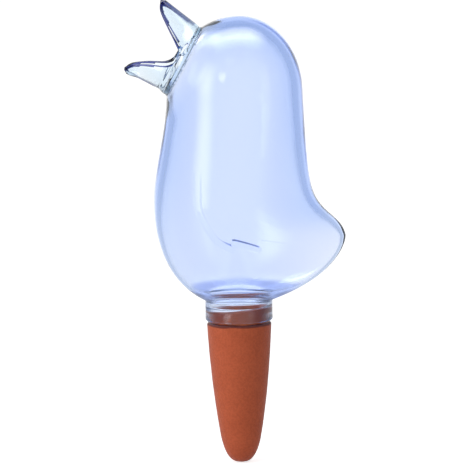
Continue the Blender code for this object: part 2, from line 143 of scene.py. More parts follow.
def ramp(tree, value, low_at, high_at, low=0.0, high=1.0):
    """Goes smoothly from low to high while the value goes from low_at to high_at."""
    inputs = {"Value": value, "From Min": low_at, "From Max": high_at, "To Min": low, "To Max": high}
    return add_node(tree, "ShaderNodeMapRange", inputs, interpolation_type="SMOOTHSTEP").outputs[0]


def clouds(tree, place, scale, detail):
    inputs = {"Vector": place, "Scale": scale, "Detail": detail}
    return add_node(tree, "ShaderNodeTexNoise", inputs).outputs[0]


def mixed(tree, factor, first, second):
    return add_node(tree, "ShaderNodeMix", {0: factor, 2: first, 3: second}).outputs[0]


def mixed_colour(tree, factor, first, second):
    return add_node(tree, "ShaderNodeMix", {0: factor, 6: first, 7: second}, data_type="RGBA").outputs[2]


def asking(tree):
    """Whether a ray comes from a glossy or clear surface, and whether it comes from the camera."""
    ray = add_node(tree, "ShaderNodeLightPath").outputs
    return maths(tree, "MAXIMUM", ray["Is Glossy Ray"], ray["Is Transmission Ray"]), ray["Is Camera Ray"]


def new_material(name):
    made = bpy.data.materials.new(name)
    made.use_nodes = True
    return made, made.node_tree, made.node_tree.nodes["Principled BSDF"]


print("helpers ready")

# %% [markdown]
# ## The camera
#
# The camera looks along +Y from eight degrees above, from far away, as a catalogue picture is taken, and is
# turned by one degree because the object leans a little in its picture. A pixel covers the same length
# everywhere at that distance, so the lens follows from that length.

# %% Camera
IMAGE_SIDE = 470
PIXEL = 0.41 * MM
VIEW_ELEVATION = math.radians(8.0)
VIEW_ROLL = math.radians(1.0)
VIEW_CENTRE = (-1.10 * MM, 35.69 * MM)  # the picture's middle, right and up from the origin
CAMERA_DISTANCE = 2.0
SENSOR = 36.0

forward = Vector((0.0, math.cos(VIEW_ELEVATION), -math.sin(VIEW_ELEVATION)))
level_up = Vector((0.0, math.sin(VIEW_ELEVATION), math.cos(VIEW_ELEVATION)))
level_right = Vector((1.0, 0.0, 0.0))
camera_right = level_right * math.cos(VIEW_ROLL) - level_up * math.sin(VIEW_ROLL)
camera_up = level_up * math.cos(VIEW_ROLL) + level_right * math.sin(VIEW_ROLL)
target = level_right * VIEW_CENTRE[0] + level_up * VIEW_CENTRE[1]
place = target - forward * CAMERA_DISTANCE
lens = bpy.data.cameras.new("camera")
lens.sensor_width = SENSOR
lens.lens = SENSOR * CAMERA_DISTANCE / (IMAGE_SIDE * PIXEL)
camera = link("camera", lens)
axes = Matrix((camera_right, camera_up, -forward)).transposed().to_4x4()
camera.matrix_world = Matrix.Translation(place) @ axes
bpy.context.scene.camera = camera
bpy.context.scene.view_settings.view_transform = "Standard"
print("lens %.0f mm at %.1f m" % (lens.lens, CAMERA_DISTANCE))

# %% [markdown]
# ## The room
#
# Clear plastic shows its surroundings more than itself. Photographers light it against a bright backdrop in a
# dim room: what shines straight through stays white, and every edge that bends the light aside shows the
# room as a dark line. Here the backdrop is bluish beside its bright middle, the room beyond is dark blue, and
# a weaker light behind the camera keeps the plastic from going dark when it is seen from the back. The camera
# itself sees pure white. The world does all of this, because Light Path tells what kind of ray is asking.

# %% World
WORLD_FILL = 0.42
BACKDROP = 1.16
SURROUND = (0.62, 0.67, 0.74, 1.0)  # the backdrop's light beside its bright middle
ROOM = (0.10, 0.12, 0.24, 1.0)  # the dim room beyond
BEHIND = (0.34, 0.37, 0.45, 1.0)  # behind the camera, which lights the plastic seen from the back
CEILING = 0.5
CEILING_SINE = (math.sin(math.radians(50.0)), math.sin(math.radians(64.0)))


def cosines(*degrees):
    return [math.cos(math.radians(angle)) for angle in degrees]


MIDDLE_COSINE = cosines(32.0, 17.0)
ROOM_COSINE = cosines(105.0, 48.0)
BEHIND_COSINE = cosines(140.0, 112.0)


def backdrop_light(tree, direction):
    """The backdrop's colour by how far a direction turns away from the camera's."""
    away = vector_maths(tree, "DOT_PRODUCT", direction, forward)
    middle = mixed_colour(tree, ramp(tree, away, *MIDDLE_COSINE), SURROUND, WHITE)
    beyond = mixed_colour(tree, ramp(tree, away, *BEHIND_COSINE), BEHIND, ROOM)
    return mixed_colour(tree, ramp(tree, away, *ROOM_COSINE), beyond, middle)


world = bpy.data.worlds.new("tent")
world.use_nodes = True
tree = world.node_tree
bent, seen = asking(tree)
direction = add_node(tree, "ShaderNodeTexCoord").outputs["Generated"]
towards = add_node(tree, "ShaderNodeSeparateXYZ", {0: direction}).outputs
overhead = ramp(tree, towards["Z"], *CEILING_SINE, 1.0, CEILING)
colour = backdrop_light(tree, direction)
strength = mixed(tree, bent, WORLD_FILL, maths(tree, "MULTIPLY", BACKDROP, overhead))
strength = mixed(tree, seen, strength, 1.0)
fill(tree, tree.nodes["Background"], {"Strength": strength, "Color": mixed_colour(tree, bent, WHITE, colour)})
bpy.context.scene.world = world
print("world: fill %.2f, backdrop %.2f" % (WORLD_FILL, BACKDROP))

# %% [markdown]
# The floor is a wide pale disc under the cone's tip. For the camera it glows until it is as white as the
# world, and keeps only the shadow. Seen through the plastic it is pale right under the bird, then dark, then
# blue, and part of the backdrop far away. The dark and the blue patch are narrow from side to side, and they
# make the moulded lines of the wing show.

# %% Floor
FLOOR_RADIUS = 6.0
FLOOR_DROP = 0.2 * MM
FLOOR_GLOW = 0.72
FLOOR_PALE = 0.8
FLOOR_UNDER = (0.66, 0.74, 0.98, 1.0)  # what the plastic shows of the floor right under the bird
FLOOR_NEAR = (0.08, 0.10, 0.20, 1.0)  # and round that
FLOOR_BLUE = (0.42, 0.49, 0.78, 1.0)  # and a little farther off
UNDER_TO_NEAR = (0.06, 0.10)
NEAR_TO_BLUE = (0.17, 0.24)
BLUE_TO_PALE = (0.25, 0.42)
FLOOR_ROUND = (1.0, 1.0, 0.0)
FLOOR_SQUEEZE = (8.0, 1.0, 0.0)  # makes a patch narrow from side to side

form = bmesh.new()
bmesh.ops.create_circle(form, cap_ends=True, segments=96, radius=FLOOR_RADIUS)
bmesh.ops.translate(form, verts=form.verts, vec=(0, 0, spike_low.z - FLOOR_DROP))
floor = link("floor", mesh_of(form, "floor"))

paper, tree, shader = new_material("pale_paper")
through, seen = asking(tree)
point = add_node(tree, "ShaderNodeTexCoord").outputs["Object"]
squeezed, even = (
    vector_maths(tree, "LENGTH", vector_maths(tree, "MULTIPLY", point, scale))
    for scale in (FLOOR_SQUEEZE, FLOOR_ROUND)
)
from_bird = vector_maths(tree, "SUBTRACT", point, (0.0, 0.0, BELLY_Z))
colour = backdrop_light(tree, vector_maths(tree, "NORMALIZE", from_bird))
close = mixed_colour(tree, ramp(tree, squeezed, *NEAR_TO_BLUE), FLOOR_NEAR, FLOOR_BLUE)
colour = mixed_colour(tree, ramp(tree, squeezed, *BLUE_TO_PALE), close, colour)
colour = mixed_colour(tree, ramp(tree, even, *UNDER_TO_NEAR), FLOOR_UNDER, colour)
looks = {
    "Base Color": mixed(tree, through, FLOOR_PALE, 0.0),
    "Roughness": 0.9,
    "Specular IOR Level": 0.0,
    "Emission Color": mixed_colour(tree, through, WHITE, colour),
    "Emission Strength": mixed(tree, seen, mixed(tree, through, 0.0, BACKDROP), FLOOR_GLOW),
}
fill(tree, shader, looks)
floor.data.materials.append(paper)
print("floor at %.2f mm" % ((spike_low.z - FLOOR_DROP) / MM))

# %% [markdown]
# Soft boxes light the object. The key at the front left draws the tall pale streak on the bird's breast. A
# wider wash beside it, which the plastic doesn't mirror, lights the clay. A faint box at the front right
# gives the second streak. Two light nothing and are only mirrored: one overhead brightens the crown, and a
# small one behind draws the white spot beside the beak. A lamp's power is radiance times area times pi, and
# each face fades towards its edges, so the streaks are soft.

# %% Soft boxes
LAMP_AIM = Vector((0.0, 0.0, 50 * MM))
LAMP_FADE = (0.08, 0.5)  # share of the lamp's width from its middle: where it starts to fade, where it ends


def soft_box(name, azimuth, elevation, distance, width, height, radiance, mirrored=True, lights=True):
    """A rectangular lamp: azimuth 0 is behind the camera, and positive to its right."""
    turn, rise = math.radians(azimuth), math.radians(elevation)
    away = Vector((math.sin(turn) * math.cos(rise), -math.cos(turn) * math.cos(rise), math.sin(rise)))
    lamp = bpy.data.lights.new(name, "AREA")
    lamp.shape = "RECTANGLE"
    lamp.size, lamp.size_y = width, height
    lamp.energy = radiance * math.pi * width * height
    lamp.use_nodes = True
    tree = lamp.node_tree
    place = add_node(tree, "ShaderNodeNewGeometry").outputs["Parametric"]
    glow = 1.0
    for share in add_node(tree, "ShaderNodeSeparateXYZ", {0: place}).outputs[:2]:
        off_middle = maths(tree, "ABSOLUTE", maths(tree, "SUBTRACT", share, 0.5))
        glow = maths(tree, "MULTIPLY", glow, ramp(tree, off_middle, *LAMP_FADE, 1.0, 0.0))
    fill(tree, tree.nodes["Emission"], {"Strength": glow})
    obj = link(name, lamp)
    aimed = away.to_track_quat("Z", "Y").to_matrix().to_4x4()
    obj.matrix_world = Matrix.Translation(LAMP_AIM + away * distance) @ aimed
    obj.visible_glossy = mirrored
    obj.visible_transmission = mirrored
    obj.visible_diffuse = lights
    print("%s: %.1f W" % (name, lamp.energy))


soft_box("key_box", -43, 14, 1.0, 0.62, 1.4, 2.7)
soft_box("left_wash", -68, 20, 1.3, 1.4, 1.6, 2.6, mirrored=False)
soft_box("right_box", 42, 14, 1.2, 0.40, 1.4, 0.9)
soft_box("top_box", 10, 94, 1.1, 1.8, 0.9, 5.5, lights=False)
soft_box("back_box", -130, 44, 1.0, 0.36, 0.36, 8.0, lights=False)

# %% [markdown]
# ## The form of the bottle
#
# Below, arrays of heights go in and arrays of reaches come out, so a whole surface is worked out at once. The
# underside is a superellipse from the neck to the widest line, and the back sweeps out into the tail.


# %% Outline of the bottle
def eased(value, low_at, high_at, low, high):
    """Goes smoothly from low to high between two values."""
    share = np.clip((value - low_at) / (high_at - low_at), 0.0, 1.0)
    return low + (high - low) * share * share * (3 - 2 * share)


def underside(z, rim_z, rim_reach, power):
    closing = (1 - (NECK_RADIUS / rim_reach) ** power) ** (1 / power)
    share = np.clip((rim_z - z) / (rim_z - NECK_TOP_Z), 0.0, 1.0) * closing
    return rim_reach * (1 - share**power) ** (1 / power)


def belly_to_head(belly_reach, head_reach):
    def reach(z):
        upper = eased(z, BELLY_Z, HEAD_Z, belly_reach, head_reach)
        return np.where(z < BELLY_Z, underside(z, BELLY_Z, belly_reach, BELLY_POWER), upper)

    return reach


def sharp_back(z):
    share = np.clip((z - TAIL_Z) / (HEAD_Z - TAIL_Z), 0.0, 1.0)
    spine = RUMP_REACH + (HEAD_BACK + HEAD_OFFSET - RUMP_REACH) * share
    rise = np.clip(z - TAIL_Z, 0.0, None) / TAIL_SWEEP
    sweep = (TAIL_REACH - RUMP_REACH) / (1 + rise**3)
    return np.where(z < TAIL_Z, underside(z, TAIL_Z, TAIL_REACH, TAIL_POWER), spine + sweep * (1 - share))


CORNER_ROUND = 0.55 * MM


def rounded(reach):
    """The same reach averaged over a short height, which rounds the corner between neck and body."""
    return lambda z: np.mean([reach(z + step * CORNER_ROUND) for step in np.linspace(-1, 1, 9)], axis=0)


front_reach = rounded(belly_to_head(BELLY_FRONT, HEAD_FRONT - HEAD_OFFSET))
back_reach = rounded(sharp_back)
side_reach = rounded(belly_to_head(BELLY_HALF_WIDTH, HEAD_HALF_WIDTH))
belly = [round(float(reach(BELLY_Z)) / MM, 2) for reach in (front_reach, back_reach)]
print("reaches at the belly in mm:", belly)

# %% [markdown]
# A blown wall isn't even. Nothing shows how thick the real one is, so these values were chosen by how the
# plastic bends and tints the light: thick at the crown, thin at the underside, and a ring at the neck's top.
# The sleeve's slanted top reaches a little into that ring. The wall is measured square to the outline, so it
# grows where the outline lies flat.

# %% Wall and sections
CROWN_WALL = 4.0 * MM
# Heights above the neck's top between which a wall grows, then its thickness below and above
FRONT_WALL = (8.0 * MM, 60.0 * MM, 2.0 * MM, 3.5 * MM)
BACK_WALL = (17.0 * MM, 41.0 * MM, 1.5 * MM, 3.7 * MM)
SIDE_WALL = (8.0 * MM, 65.0 * MM, 3.1 * MM, 3.2 * MM)
SIDES = ((front_reach, FRONT_WALL), (back_reach, BACK_WALL), (side_reach, SIDE_WALL))
SLOPE_STEP = 0.05 * MM
BORE_ROUND = 0.5 * MM
NECK_EXTRA = 1.6 * MM  # more wall just above the neck
NECK_EXTRA_RISE = 6.5 * MM
RING_RADIUS = 12.1 * MM  # the bore narrows to this ring at the neck's top
RING_BELOW = (3.8 * MM, 2.4 * MM)


def cavity_reach(reach, z, wall_rise):
    low, high, thin, thick = wall_rise
    wall = eased(z, NECK_TOP_Z + low, NECK_TOP_Z + high, thin, thick)
    wall = wall + eased(z, NECK_TOP_Z, NECK_TOP_Z + NECK_EXTRA_RISE, NECK_EXTRA, 0.0)
    slope = (reach(z + SLOPE_STEP) - reach(z - SLOPE_STEP)) / (2 * SLOPE_STEP)
    free = reach(z) - wall * np.hypot(1, slope)
    low, high = (NECK_TOP_Z - below for below in RING_BELOW)
    bore = eased(z, low, high, BORE_RADIUS, RING_RADIUS)
    return (free + bore + np.hypot(free - bore, BORE_ROUND)) / 2


def section(z, cavity=False):
    """Front, back and side reach, centre, squareness and tail pinch of each level section."""
    centre = np.where(
        z < BELLY_Z,
        eased(z, NECK_TOP_Z, BELLY_Z, 0.0, -BELLY_OFFSET),
        eased(z, BELLY_Z, HEAD_Z, -BELLY_OFFSET, HEAD_OFFSET),
    )
    pinch = np.clip(TAIL_PINCH * (1 - side_reach(z) / (back_reach(z) - centre)), 0.0, None)
    power = eased(z, BELLY_Z, HEAD_Z, 2.0, HEAD_POWER)
    walls = [CROWN_WALL] + [side[-1] for _, side in SIDES] if cavity else [0.0] * 4
    wall, front_wall, back_wall, side_wall = walls
    arch = np.sqrt(1 - np.clip((z - HEAD_Z) / (HEAD_RISE - wall), 0.0, 1.0) ** 2)
    reaches = [cavity_reach(reach, z, side) if cavity else reach(z) for reach, side in SIDES]
    crowned = [
        (HEAD_FRONT - front_wall) * arch - HEAD_OFFSET,
        (HEAD_BACK - back_wall) * arch + HEAD_OFFSET,
        (HEAD_HALF_WIDTH - side_wall) * arch,
    ]
    front, back, side = (np.where(z > HEAD_Z, high, low) for high, low in zip(crowned, reaches))
    return front, back, side, centre, power, np.where(z > HEAD_Z, 0.0, pinch)


def body_rows(z, turns, cavity=False):
    """Points of the level sections at heights z, counter-clockwise from +X."""
    front, back, side, centre, power, pinch = (part[:, None] for part in section(z, cavity))
    along, across = np.cos(turns)[None, :], np.sin(turns)[None, :]
    reach = np.where(along > 0, back - centre, front + centre)
    x = centre + np.sign(along) * reach * np.abs(along) ** (2 / power)
    y = np.sign(across) * side * np.abs(across) ** (2 / power)
    y = y * (1 - pinch * np.clip(along, 0.0, None) ** 2)
    return np.stack([x, y, np.broadcast_to(z[:, None], x.shape)], axis=-1)


print("wall at the crown %.1f mm, at the back's underside %.1f mm" % (CROWN_WALL / MM, BACK_WALL[2] / MM))

# %% [markdown]
# ## Rows and columns where they are needed
#
# The wing's moulded lines are half a millimetre wide and the rest of the bird is smooth, so an even grid
# would waste most of its faces. Here each stretch states its own spacing. Dividing the length of a stretch by
# its spacing gives a running count, and a row is laid at each whole number of that count. The far side's
# lines are softer, so its columns stand wider apart.

# %% Spacing of the grid
EYE_CENTRE = (HEAD_OFFSET - 4.2 * MM, HEAD_Z + 8.3 * MM)
EYE_RADIUS = 4.6 * MM
WING_X = (-17.5 * MM, 22.0 * MM)
FINE = 0.30 * MM
MEDIUM = 0.55 * MM
FAR_FINE = 0.50 * MM
NECK_FINE = 0.25 * MM
COARSE = 1.5 * MM
NECK_ZONE = 3.0 * MM  # to each side of the neck's top
WING_ZONES = (22 * MM, 31 * MM, 57 * MM)  # above the neck's top: fine rows, then medium ones
EYE_MARGIN = 1 * MM
REFERENCE_REACH = 31.0 * MM


def spaced(places, lengths, spacings):
    """Places chosen so that neighbours lie one local spacing apart along the running length."""
    steps = np.diff(lengths) / ((spacings[1:] + spacings[:-1]) / 2)
    count = np.concatenate([[0.0], np.cumsum(steps)])
    whole = max(int(round(count[-1])), 1)
    return np.interp(np.linspace(0.0, count[-1], whole + 1), count, places)


def outline_length(z, cavity=False):
    front, back = section(z, cavity)[:2]
    rise = np.diff(z)
    run = (np.hypot(np.diff(front), rise) + np.hypot(np.diff(back), rise)) / 2
    return np.concatenate([[0.0], np.cumsum(run)])


def row_heights(low, cavity=False):
    """Heights from low to just under the pole."""
    rise = HEAD_RISE - (CROWN_WALL if cavity else 0.0)
    lower = np.linspace(low, HEAD_Z, 4000)
    upper = HEAD_Z + rise * np.sin(np.linspace(0, math.pi / 2, 1500)[1:])
    z = np.concatenate([lower, upper])
    height = z - NECK_TOP_Z
    spacing = np.full(len(z), COARSE * (2.0 if cavity else 1.0))
    spacing[np.abs(height) < NECK_ZONE] = NECK_FINE
    if not cavity:
        low_end, middle, high_end = WING_ZONES
        spacing[(height > low_end) & (height < middle)] = FINE
        spacing[(height >= middle) & (height < high_end)] = MEDIUM
    spacing[np.abs(z - EYE_CENTRE[1]) < EYE_RADIUS + EYE_MARGIN] = MEDIUM
    return spaced(z, outline_length(z, cavity), spacing)[:-1]


turn = np.linspace(0.0, 2 * math.pi, 7201)
turn_spacing = np.full(len(turn), COARSE)
turn_x = np.cos(turn) * REFERENCE_REACH
at_wing = (turn_x > WING_X[0]) & (turn_x < WING_X[1])
turn_spacing[at_wing] = FAR_FINE
turn_spacing[at_wing & (turn > math.pi)] = FINE
columns = spaced(turn, turn * REFERENCE_REACH, turn_spacing)[:-1]
print("%d columns, %d rows" % (len(columns), len(row_heights(NECK_TOP_Z))))

# %% [markdown]
# ## The wing and the eye
#
# Both are moulded into the wall, so they are lifts of the same surface and not pieces laid on it. The wing is
# a broad band with two feather tips under it, each a curve through a few points. A point of the wall is
# lifted by how near it lies to the curve: full height inside the band, nothing outside, a short ramp between.
# The eye is a shallow dome of even wall, so it lifts the cavity too.

# %% Relief
BAND_HALF_WIDTH = 1.5 * MM
BAND_RAMP = 0.38 * MM
CURVE_STEPS = 8
# Points as x and height above the neck's top, then the lift at the curve's start and end
WING_CURVES = (
    (
        ((-15.8, 54.8), (-15.9, 47.5), (-15.5, 40.5), (-11.9, 33.2), (-8.1, 27.8), (-2.2, 24.6)),
        (0.05 * MM, 0.55 * MM),
    ),
    (((-1.6, 27.2), (3.1, 25.8), (7.8, 24.1)), (0.55 * MM, 0.35 * MM)),
    (((9.7, 26.6), (15.2, 25.4), (20.3, 24.2)), (0.15 * MM, 0.10 * MM)),
)
FAR_WING = 0.3  # the far side's relief is a guess, and is kept soft
EYE_DOME = 0.7 * MM


def smooth_path(points, steps):
    """A Catmull-Rom curve through the points."""
    last = len(points) - 1
    path = []
    for i in range(last):
        a, b, c, d = (np.array(points[min(max(spot, 0), last)], float) for spot in range(i - 1, i + 3))
        for step in range(steps):
            t = step / steps
            bend = (2 * a - 5 * b + 4 * c - d) * t**2 / 2
            twist = (3 * b - a - 3 * c + d) * t**3 / 2
            path.append(b + (c - a) * t / 2 + bend + twist)
    path.append(np.array(points[last], float))
    return np.array(path)


def near_path(spots, path):
    """Each spot's distance to a path, and the share of the path's length at its nearest point."""
    best = np.full(len(spots), np.inf)
    share = np.zeros(len(spots))
    segments = len(path) - 1
    for i in range(segments):
        start, step = path[i], path[i + 1] - path[i]
        t = np.clip((spots - start) @ step / (step @ step), 0.0, 1.0)
        gap = np.hypot(*(spots - start - t[:, None] * step).T)
        nearer = gap < best
        best[nearer] = gap[nearer]
        share[nearer] = (i + t[nearer]) / segments
    return best, share


def eye_lift(x, z):
    off_centre = np.hypot(x - EYE_CENTRE[0], z - EYE_CENTRE[1]) / EYE_RADIUS
    return EYE_DOME * np.clip(1 - off_centre**2, 0.0, None) ** 2


def wing_lift(x, z):
    spots = np.stack([x, z], axis=-1)
    lift = np.zeros(len(x))
    for points, (first, last) in WING_CURVES:
        path = smooth_path([(px * MM, NECK_TOP_Z + pz * MM) for px, pz in points], CURVE_STEPS)
        gap, share = near_path(spots, path)
        band = eased(gap, BAND_HALF_WIDTH - BAND_RAMP, BAND_HALF_WIDTH, 1.0, 0.0)
        lift = np.maximum(lift, band * (first + (last - first) * share))
    return lift


print("%d wing curves" % len(WING_CURVES))

# %% [markdown]
# ## Skinning the bottle
#
# The outer rows run down from the crown, round the lip, and the inner rows run up the cavity again, so one
# continuous skin makes the wall. Lofting by hand suits it better than Solidify, because the wall's thickness
# follows a rule of its own.


# %% Shell mesh
def closed_skin(rows, first_pole, last_pole):
    """Points and faces of a skin over rows of equal count, closed by a pole at both ends."""
    count = rows.shape[1]
    points = np.concatenate([rows.reshape(-1, 3), [first_pole, last_pole]])
    index = np.arange(rows.shape[0] * count).reshape(rows.shape[0], count)
    following = np.roll(index, -1, axis=1)
    quads = np.stack([index[:-1], index[1:], following[1:], following[:-1]], axis=-1).reshape(-1, 4)
    first, last = len(points) - 2, len(points) - 1
    faces = quads.tolist()
    faces += [(first, a, b) for a, b in zip(index[0].tolist(), following[0].tolist())]
    faces += [(last, b, a) for a, b in zip(index[-1].tolist(), following[-1].tolist())]
    return points, faces


LIP_ROUND = 0.7 * MM
LIP_STEPS = 6
INNER_LIP = 0.15 * MM

outer_z = row_heights(RIM_Z + LIP_ROUND)[::-1]
inner_z = row_heights(RIM_Z + INNER_LIP, cavity=True)
rows = [body_rows(outer_z, columns)]
for step in range(1, LIP_STEPS + 1):
    angle = math.pi / 2 * step / LIP_STEPS
    radius = NECK_RADIUS - LIP_ROUND * (1 - math.cos(angle))
    z = RIM_Z + LIP_ROUND * (1 - math.sin(angle))
    circle = np.stack([radius * np.cos(columns), radius * np.sin(columns), np.full(len(columns), z)], axis=-1)
    rows.append(circle[None])
rows.append(body_rows(inner_z, columns, cavity=True))
rows = np.concatenate(rows)
poles = ((HEAD_OFFSET, 0.0, CROWN_Z), (HEAD_OFFSET, 0.0, CROWN_Z - CROWN_WALL))
points, faces = closed_skin(rows, *poles)
shell_mesh = bpy.data.meshes.new("bird_reservoir")
shell_mesh.from_pydata(points, [], faces)
shell_mesh.update()
print("shell: %d faces" % len(faces))

# %% [markdown]
# Now the points move along their normals. Only the flanks carry relief, and the far one less than the near.

# %% Lift the relief out of the shell
normals = np.empty(len(points) * 3)
shell_mesh.vertices.foreach_get("normal", normals)
normals = normals.reshape(-1, 3)
outer_count = len(outer_z) * len(columns)
outer = np.arange(len(points)) < outer_count
flank = np.abs(points[:, 1]) > BELLY_HALF_WIDTH / 4
side = np.where(points[:, 1] < 0, 1.0, FAR_WING)
x, z = points[:, 0], points[:, 2]
lift = flank * eye_lift(x, z) * np.where(outer, 1.0, -1.0)
winged = outer & flank
lift[winged] += side[winged] * wing_lift(x[winged], z[winged])
points += normals * lift[:, None]
shell_mesh.vertices.foreach_set("co", points.ravel())
shell_mesh.update()
print("lifted %d points by up to %.2f mm" % ((lift != 0).sum(), lift.max() / MM))

# %% [markdown]
# ## The place of the beak
#
# The beak's round base stands square to a line that rises forwards from the head's middle. The base's edge
# has to meet the head's surface, and that gives its distance.

# %% Place of the beak
BEAK_ANGLE = math.radians(28.5)
BEAK_BASE_RADIUS = 15.5 * MM

crown_reach = 1 / math.hypot(math.cos(BEAK_ANGLE) / HEAD_FRONT, math.sin(BEAK_ANGLE) / HEAD_RISE)
seat_distance = math.sqrt(crown_reach**2 - BEAK_BASE_RADIUS**2)
head_middle = (HEAD_OFFSET, 0.0, HEAD_Z)
beak_axis = (-math.cos(BEAK_ANGLE), 0.0, math.sin(BEAK_ANGLE))
seat_centre = Vector(head_middle) + Vector(beak_axis) * seat_distance
beak_frame = Matrix.Translation(seat_centre) @ Matrix.Rotation(BEAK_ANGLE - math.pi / 2, 4, "Y")
outwards = beak_frame.to_3x3() @ Vector((0, 0, 1))
print("the beak stands %.1f mm from the head's middle" % (seat_distance / MM))

# %% [markdown]
# ## Effects as node groups
#
# An effect with inputs of its own can serve any material, so each is a node group. Mould ripple is the faint
# waviness of a plastic wall that cooled against its mould. Fine grain is a mask of specks, for grit in clay.


# %% Shader groups
PATCHES_PER_WAVE = 2.5
SPECK_EDGE = 0.75  # how softly a speck begins


def new_group(name, numbers, results):
    """A group that takes a position and numbers with defaults, and gives numbers."""
    tree = bpy.data.node_groups.new(name, "ShaderNodeTree")
    face = tree.interface
    face.new_socket("Position", in_out="INPUT", socket_type="NodeSocketVector")
    for socket, value in numbers.items():
        face.new_socket(socket, in_out="INPUT", socket_type="NodeSocketFloat").default_value = value
    for socket in results:
        face.new_socket(socket, in_out="OUTPUT", socket_type="NodeSocketFloat")
    return tree, add_node(tree, "NodeGroupInput").outputs, add_node(tree, "NodeGroupOutput")


def ripple_group():
    numbers = {"Wave size": 0.02, "Haze": 0.02, "Haze change": 0.02}
    tree, given, result = new_group("mould_ripple", numbers, ("Height", "Roughness"))
    scale = maths(tree, "DIVIDE", 1.0, given["Wave size"])
    wave = clouds(tree, given["Position"], scale, 1.0)
    patch = clouds(tree, given["Position"], maths(tree, "MULTIPLY", scale, PATCHES_PER_WAVE), 3.0)
    change = maths(tree, "MULTIPLY", patch, given["Haze change"])
    fill(tree, result, {"Height": wave, "Roughness": maths(tree, "ADD", given["Haze"], change)})
    return tree


def grain_group():
    numbers = {"Grain size": 0.001, "Share": 0.3}
    tree, given, result = new_group("fine_grain", numbers, ("Mask", "Height"))
    specks = clouds(tree, given["Position"], maths(tree, "DIVIDE", 1.0, given["Grain size"]), 4.0)
    edge = maths(tree, "SUBTRACT", 1.0, given["Share"])
    limits = {"Value": specks, "From Min": maths(tree, "MULTIPLY", edge, SPECK_EDGE), "From Max": edge}
    mask = add_node(tree, "ShaderNodeMapRange", limits).outputs[0]
    fill(tree, result, {"Mask": mask, "Height": specks})
    return tree


ripple, grain = ripple_group(), grain_group()
print("groups:", ripple.name, grain.name)

# %% [markdown]
# ## Clear plastics
#
# The bird's blue isn't painted on: it is in the plastic, so it deepens with the length of the path through
# the wall, and the outline shows as a darker band. Volume Absorption does that. The surface is a plain
# Principled shader with full transmission. Lamps reach the inside through a tinted Transparent shader for
# shadow rays, because a pathtraced caustic would take far too long.
#
# Some places differ, for the look alone. The underside just above the neck is a little matt. The beak's
# colour turns dark where it is seen at a grazing angle, except near its seat: painted shade, for the dark
# room that clear plastic shows along its edges. Its rims are dark with painted shade too.


# %% Plastic materials
# Painted shade on the beak's edges: how grazing the view must be, and how far above the seat it begins
SHADED_EDGE_FACING = (0.45, 0.75)
SHADED_EDGE_RISE = (3.0 * MM, 7.0 * MM)  # height above the beak's seat over which its dark edges begin
NECK_HAZE = 0.17
NECK_HAZE_RISE = (1.5 * MM, 6.0 * MM)  # height above the neck's top over which the matt finish ends


def clear_material(name, tint, depth, shadow, haze, wave, ior=1.49, base=WHITE, edge=None, matt_neck=False):
    """Tint is the colour left at the depth. Haze is its amount and change, and wave its size and height."""
    made, tree, shader = new_material(name)
    position = add_node(tree, "ShaderNodeTexCoord").outputs["Object"]
    # Painted shade: the base colour darkens where the surface is seen at a grazing angle.
    if edge:
        facing = add_node(tree, "ShaderNodeLayerWeight", {"Blend": 0.5}).outputs["Facing"]
        from_seat = vector_maths(tree, "SUBTRACT", position, seat_centre)
        rise = vector_maths(tree, "DOT_PRODUCT", from_seat, outwards)
        painted_edge_shade = maths(tree, "MULTIPLY", ramp(tree, facing, *SHADED_EDGE_FACING), ramp(tree, rise, *SHADED_EDGE_RISE))
        base = mixed_colour(tree, painted_edge_shade, WHITE, edge)
    amount, change = haze
    if matt_neck:
        height = add_node(tree, "ShaderNodeSeparateXYZ", {0: position}).outputs["Z"]
        low, high = (NECK_TOP_Z + rise for rise in NECK_HAZE_RISE)
        amount = ramp(tree, height, low, high, NECK_HAZE, amount)
    size, wave_height = wave
    given = {"Position": position, "Wave size": size, "Haze": amount, "Haze change": change}
    effect = add_node(tree, "ShaderNodeGroup", given, node_tree=ripple).outputs
    bump = add_node(tree, "ShaderNodeBump", {"Height": effect["Height"], "Distance": wave_height})
    looks = {
        "Base Color": base,
        "Transmission Weight": 1.0,
        "IOR": ior,
        "Roughness": effect["Roughness"],
        "Normal": bump.outputs["Normal"],
    }
    fill(tree, shader, looks)
    ray = add_node(tree, "ShaderNodeLightPath").outputs["Is Shadow Ray"]
    clear = add_node(tree, "ShaderNodeBsdfTransparent", {"Color": shadow})
    mix = add_node(tree, "ShaderNodeMixShader", {0: ray, 1: shader.outputs[0], 2: clear.outputs[0]})
    strongest = max(-math.log(channel) / depth for channel in tint)
    colour = [1 + math.log(channel) / depth / strongest for channel in tint]
    absorb = add_node(tree, "ShaderNodeVolumeAbsorption", {"Color": (*colour, 1.0), "Density": strongest})
    fill(tree, tree.nodes["Material Output"], {"Surface": mix.outputs[0], "Volume": absorb.outputs[0]})
    print("%s: absorption %.0f per metre" % (name, strongest))
    return made


BLUE = ((0.60, 0.71, 0.98), 7.0 * MM, (0.93, 0.95, 0.98, 1.0), (0.02, 0.03), (22 * MM, 0.25 * MM))
CLEAR = ((0.76, 0.87, 0.945), 2.6 * MM, (0.93, 0.96, 0.98, 1.0), (0.01, 0.02), (9 * MM, 0.06 * MM))
SOFT = ((0.9, 0.92, 0.95), 2.0 * MM, (0.97, 0.97, 0.97, 1.0), (0.08, 0.04), (4 * MM, 0.02 * MM))
SET = ((0.55, 0.6, 0.7), 0.6 * MM, (0.8, 0.85, 0.9, 1.0), (0.1, 0.1), (1.5 * MM, 0.05 * MM))
blue_plastic = clear_material("blue_clear_plastic", *BLUE, matt_neck=True)
# the beak's plastic, with painted shade along its grazing edges
clear_plastic = clear_material("clear_plastic", *CLEAR, edge=(0.03, 0.03, 0.12, 1.0))
